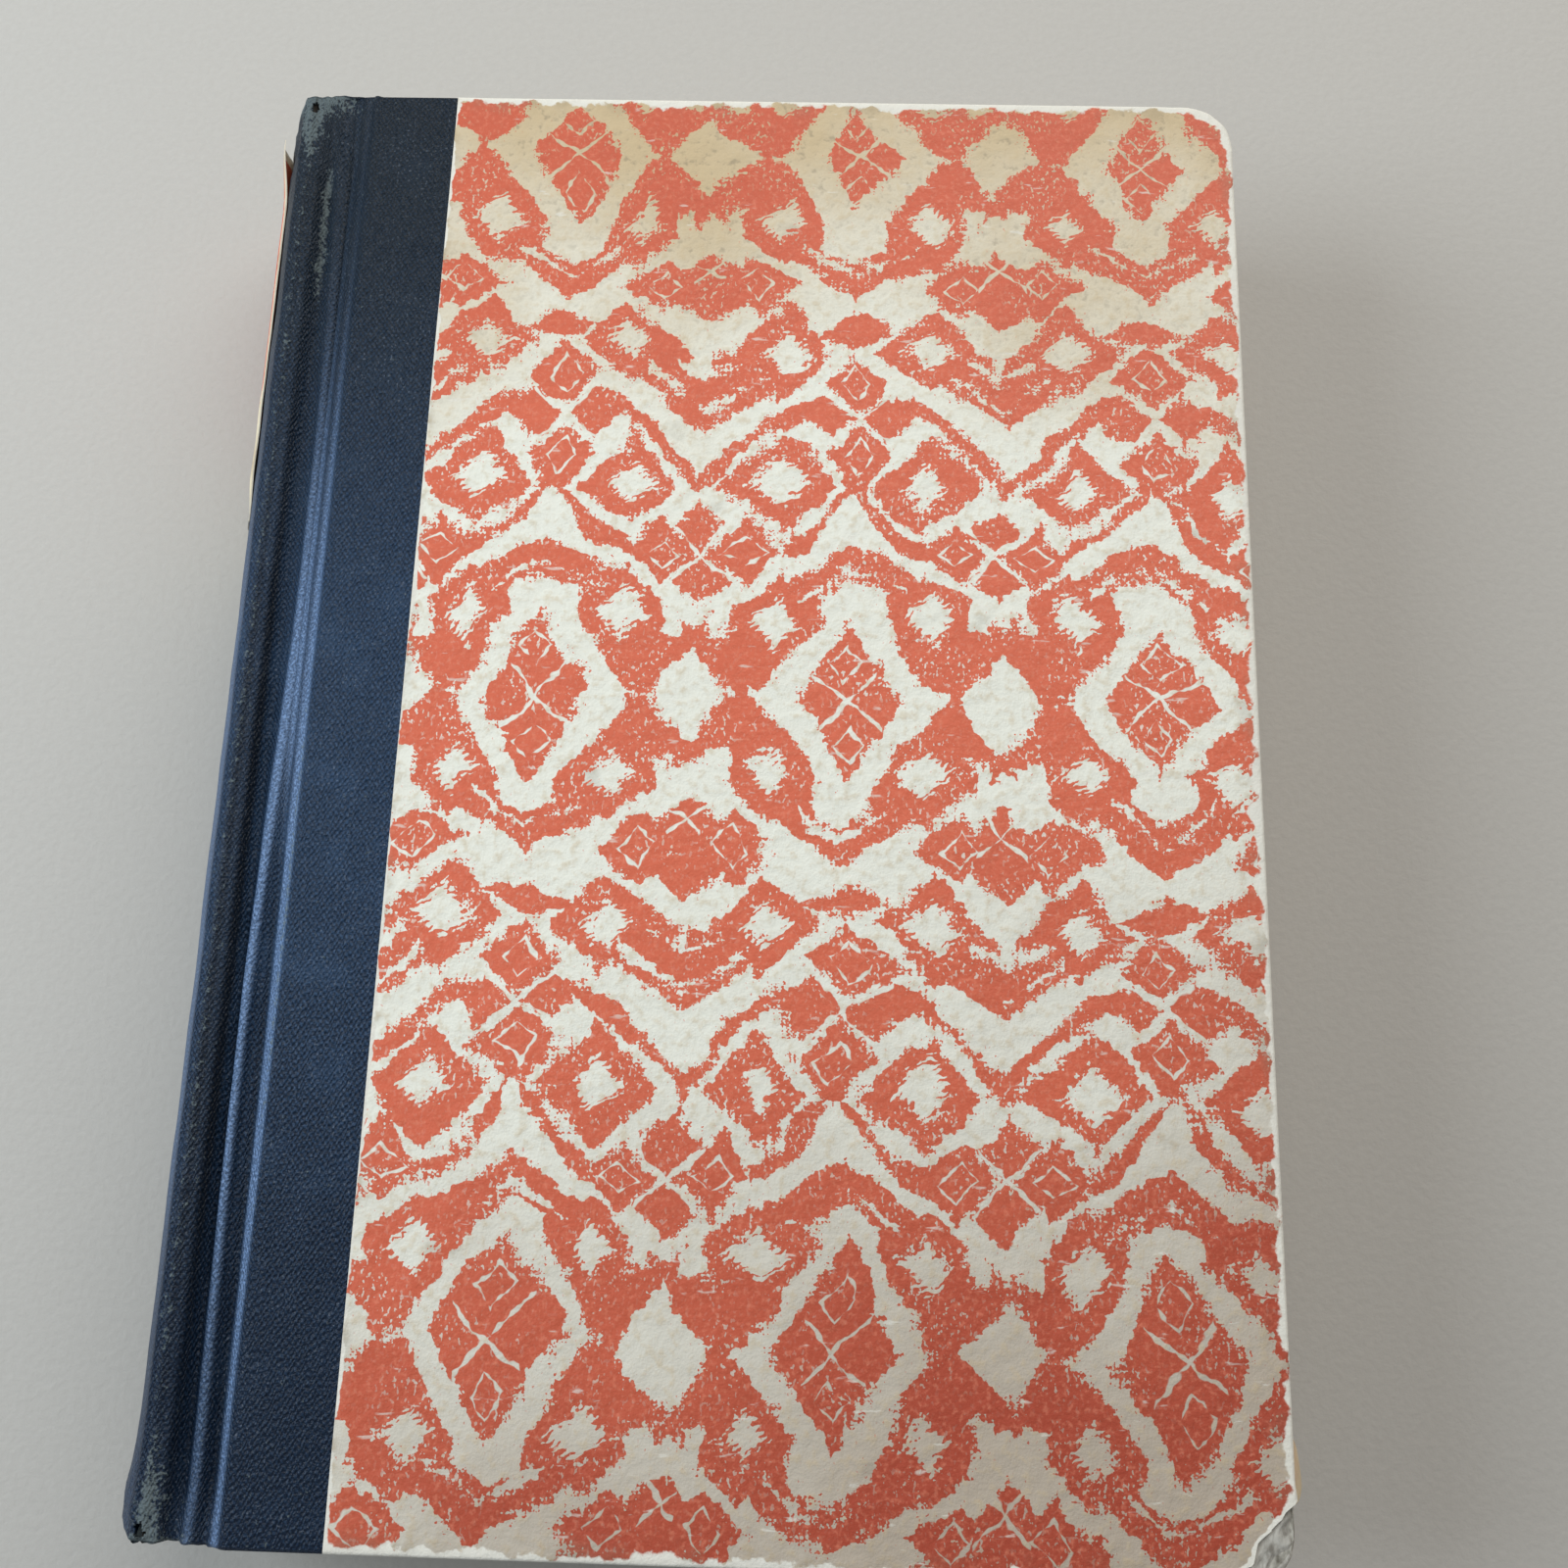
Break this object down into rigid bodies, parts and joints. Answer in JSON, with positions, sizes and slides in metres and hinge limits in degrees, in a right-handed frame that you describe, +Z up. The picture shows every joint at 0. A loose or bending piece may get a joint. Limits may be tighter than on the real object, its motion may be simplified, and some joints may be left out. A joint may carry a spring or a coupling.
{
  "type": "hardback book",
  "caption": "Worn quarter-bound hardback book with a rounded cloth spine, a paper spine label, patterned paper sides, and covers that swing open on their joint grooves.",
  "frame": {"origin": "middle of the book's outline, on the surface that it lies on, under the rear cover", "axes": "+Z up through the closed book from the rear cover to the front cover, +Y from the tail to the head, +X from the spine to the fore-edge"},
  "size_m": [0.1489, 0.21, 0.034],
  "materials": {
    "pages": "matte",
    "endpaper": "matte",
    "band_thread": "satin",
    "gauze": "matte",
    "lining_paper": "matte",
    "pasteboard": "matte",
    "book_cloth": "satin",
    "printed_paper": "satin",
    "label_paper": "satin"
  },
  "bodies": {
    "book_block": {"text_block": "pages", "front_flyleaf": "endpaper", "rear_flyleaf": "endpaper", "head_band": "band_thread", "tail_band": "band_thread", "spine_mull": "gauze", "spine_lining": "lining_paper", "spine_inlay": "pasteboard", "spine_cloth": "book_cloth", "spine_label": "label_paper"},
    "front_cover": {"front_board": "pasteboard", "front_cloth": "book_cloth", "front_side_paper": "printed_paper", "front_pastedown": "endpaper"},
    "rear_cover": {"rear_board": "pasteboard", "rear_cloth": "book_cloth", "rear_side_paper": "printed_paper", "rear_pastedown": "endpaper"}
  },
  "joints": [
    {"name": "front_cover_hinge", "type": "hinge", "parent": "book_block", "child": "front_cover", "pos_m": [-0.06635, 0, 0.03085], "axis": [0, -1, 0], "range_deg": [0, 178]},
    {"name": "rear_cover_hinge", "type": "hinge", "parent": "book_block", "child": "rear_cover", "pos_m": [-0.06635, 0, 0.00315], "axis": [0, 1, 0], "range_deg": [0, 178]}
  ]
}
